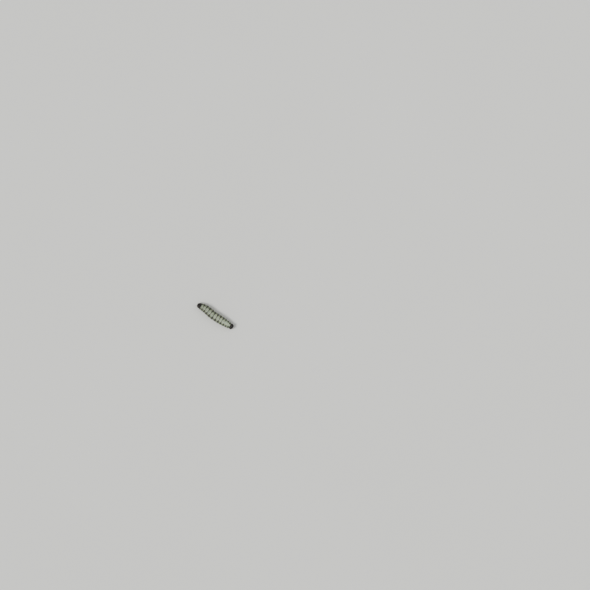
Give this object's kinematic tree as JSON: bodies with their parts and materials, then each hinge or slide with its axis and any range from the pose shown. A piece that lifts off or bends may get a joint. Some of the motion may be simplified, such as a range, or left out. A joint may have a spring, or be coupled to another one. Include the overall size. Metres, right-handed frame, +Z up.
{
  "type": "monarch butterfly larva",
  "caption": "Small banded larva late in its first instar, with a round black head, standing level on its legs and prolegs.",
  "frame": {"origin": "middle of the bounding box, on the floor under the feet", "axes": "+Z up, +Y from the head towards the tail, +X to the animal's own left"},
  "size_m": [0.001, 0.0046, 0.0009],
  "materials": {
    "skin": "moist soft cuticle, pale grey-green with dark brown bands",
    "tail_plate": "dark hardened cuticle",
    "head_shell": "glossy black hardened cuticle",
    "mouthparts": "dark brown hardened cuticle",
    "leg_shell": "glossy brown-black hardened cuticle"
  },
  "bodies": {
    "root": {"abdomen_1": "skin", "abdomen_10": "tail_plate", "abdomen_2": "skin", "abdomen_3": "skin", "abdomen_4": "skin", "abdomen_5": "skin", "abdomen_6": "skin", "abdomen_7": "skin", "abdomen_8": "skin", "abdomen_9": "skin", "antenna_left": "mouthparts", "antenna_right": "mouthparts", "filament_front_left": "leg_shell", "filament_front_right": "leg_shell", "filament_rear_left": "leg_shell", "filament_rear_right": "leg_shell", "head": "head_shell", "labium": "mouthparts", "labrum": "mouthparts", "leg_1_left": "leg_shell", "leg_1_right": "leg_shell", "leg_2_left": "leg_shell", "leg_2_right": "leg_shell", "leg_3_left": "leg_shell", "leg_3_right": "leg_shell", "mandible_left": "mouthparts", "mandible_right": "mouthparts", "maxilla_left": "mouthparts", "maxilla_right": "mouthparts", "proleg_3_left": "skin", "proleg_3_right": "skin", "proleg_4_left": "skin", "proleg_4_right": "skin", "proleg_5_left": "skin", "proleg_5_right": "skin", "proleg_6_left": "skin", "proleg_6_right": "skin", "proleg_tail_left": "tail_plate", "proleg_tail_right": "tail_plate", "thorax_1": "skin", "thorax_2": "skin", "thorax_3": "skin"}
  },
  "joints": []
}
